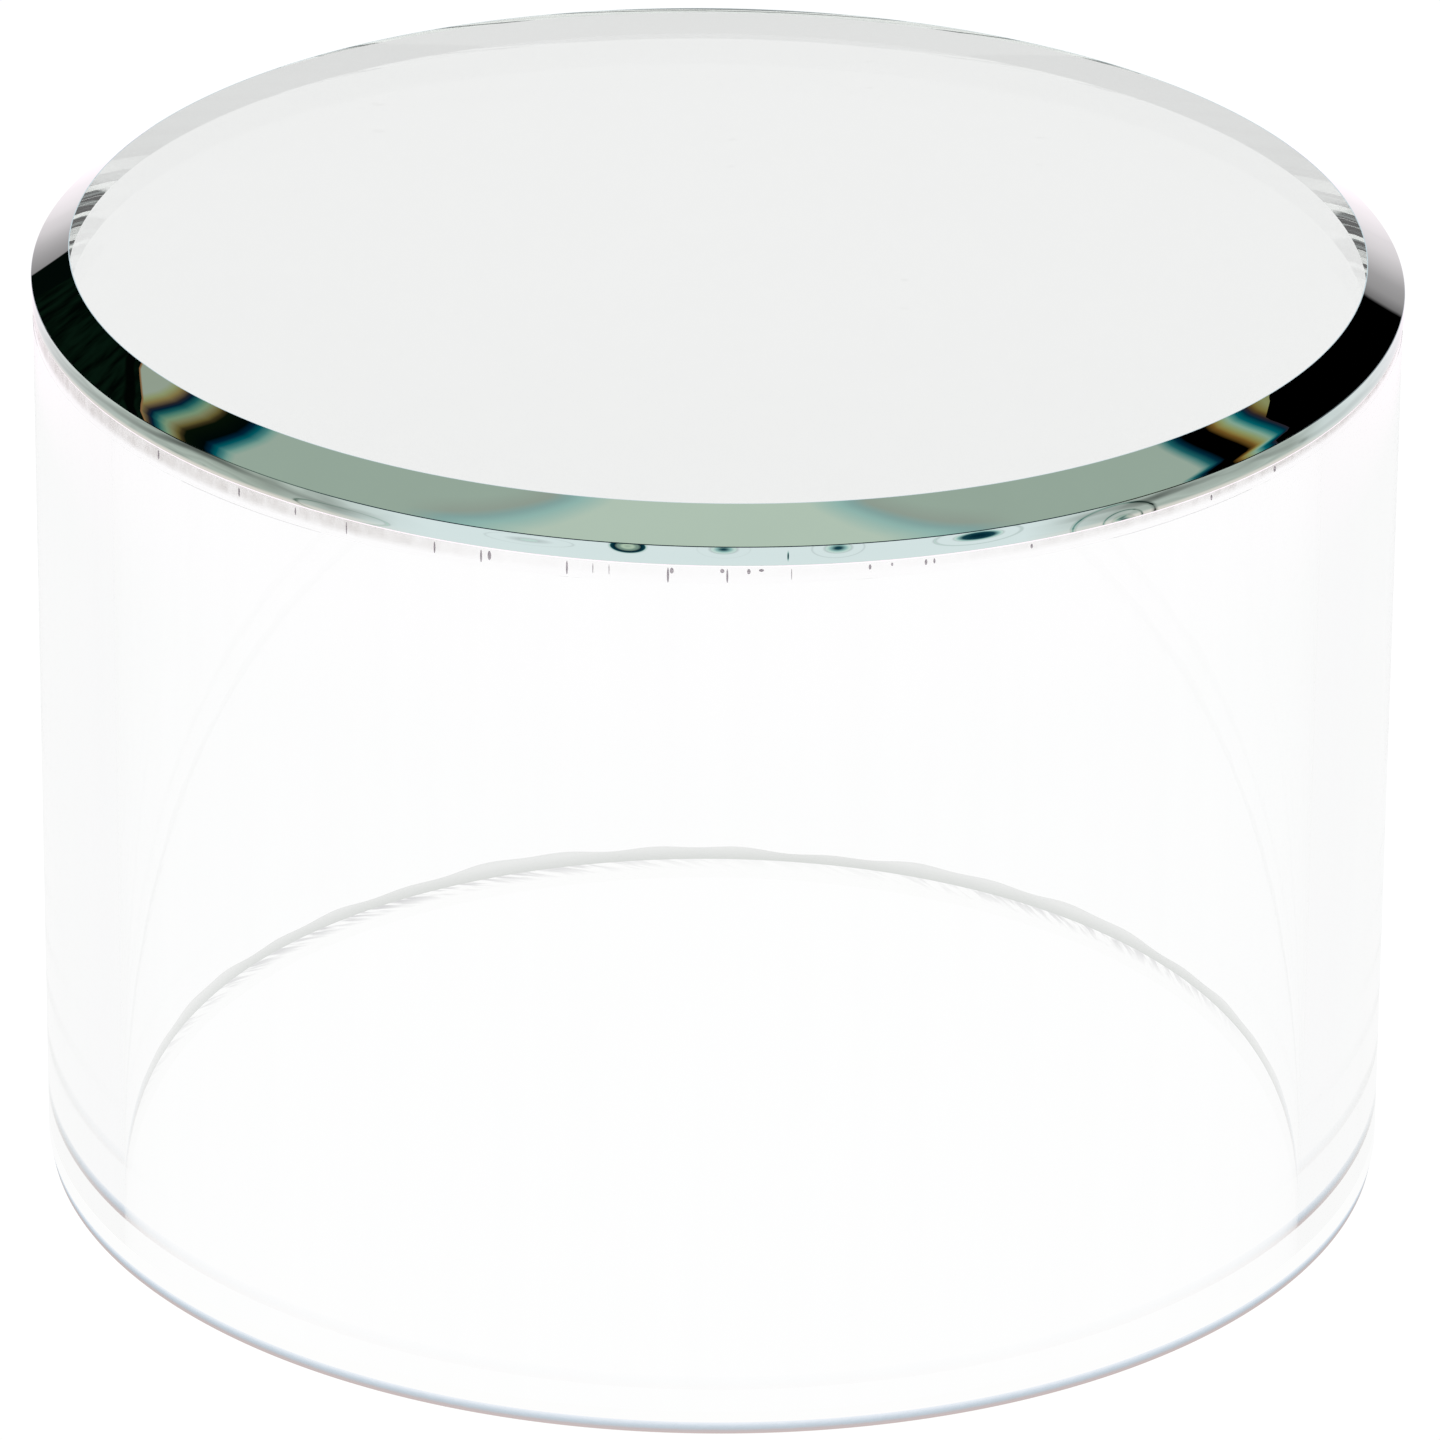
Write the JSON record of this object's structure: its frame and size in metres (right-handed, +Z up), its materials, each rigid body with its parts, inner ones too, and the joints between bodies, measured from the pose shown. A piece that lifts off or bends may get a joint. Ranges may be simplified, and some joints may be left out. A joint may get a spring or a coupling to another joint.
{
  "type": "mirror-topped acrylic display riser",
  "caption": "Round display riser: clear open-bottomed acrylic tube with a bevelled round mirror bonded flat on its top.",
  "frame": {"origin": "centre of the tube's lower end, on the surface that the riser stands on", "axes": "+Z up along the tube's axis, towards the mirror; X and Y are any two directions across it, since the form is round"},
  "size_m": [0.1146, 0.1145, 0.0818],
  "materials": {
    "clear_acrylic": "clear, polished walls; finely sawn and faced ends",
    "clear_adhesive": "clear, cured, with small squeezed-out beads",
    "backing_paint": "matt grey mirror-backing paint",
    "silvering": "silvered",
    "float_glass": "clear soda-lime float glass with a faint green tint, polished bevel, finely ground edge"
  },
  "bodies": {
    "root": {"acrylic_tube": "clear_acrylic", "adhesive_ring": "clear_adhesive", "mirror_backing_paint": "backing_paint", "mirror_silvering": "silvering", "mirror_glass": "float_glass"}
  },
  "joints": []
}
